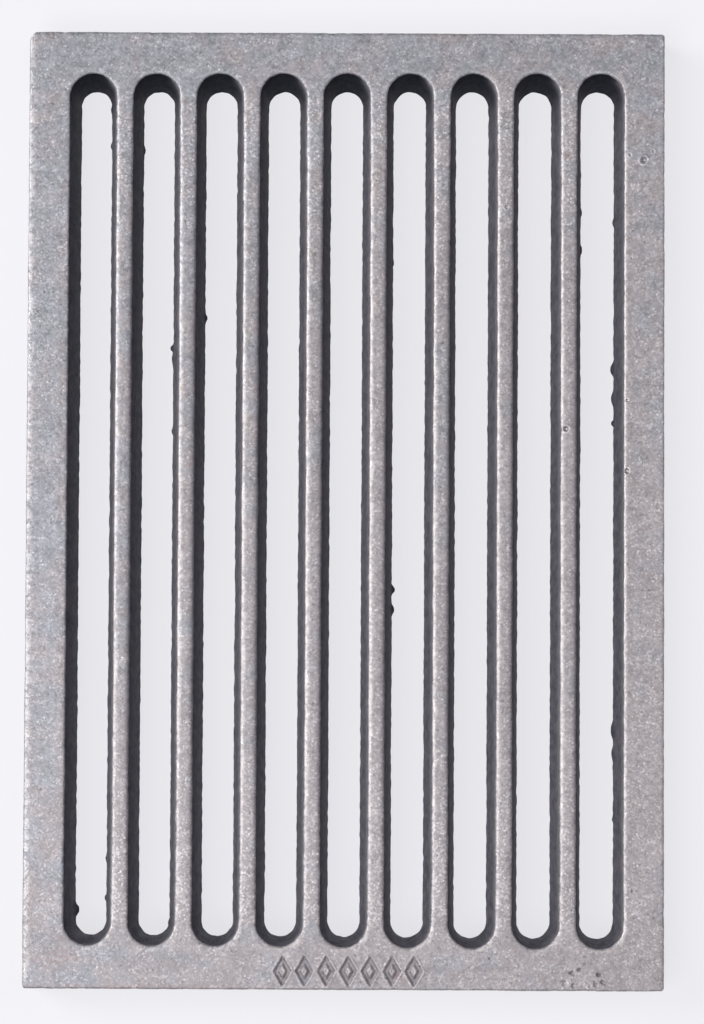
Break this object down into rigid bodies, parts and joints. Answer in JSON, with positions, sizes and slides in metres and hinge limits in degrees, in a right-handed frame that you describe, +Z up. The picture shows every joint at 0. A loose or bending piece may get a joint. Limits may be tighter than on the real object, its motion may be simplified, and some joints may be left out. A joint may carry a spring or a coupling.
{
  "type": "fire grate",
  "caption": "Flat rectangular cast-iron fire grate: a plain rim around a row of parallel bars, with long round-ended slots that taper through the thickness.",
  "frame": {"origin": "middle of the underside, the flat face that lay on the mould's parting plane, where the slots are narrowest", "axes": "+X across the bars, +Y along the bars away from the marked end rail, +Z up through the thickness to the marked face, where the slots are widest"},
  "size_m": [0.16, 0.24, 0.016],
  "materials": {
    "cast_iron": "bare grey sand casting, shot blasted, slightly sparkling, with darker oxide on the slot walls"
  },
  "bodies": {
    "root": {"grate_casting": "cast_iron"}
  },
  "joints": []
}
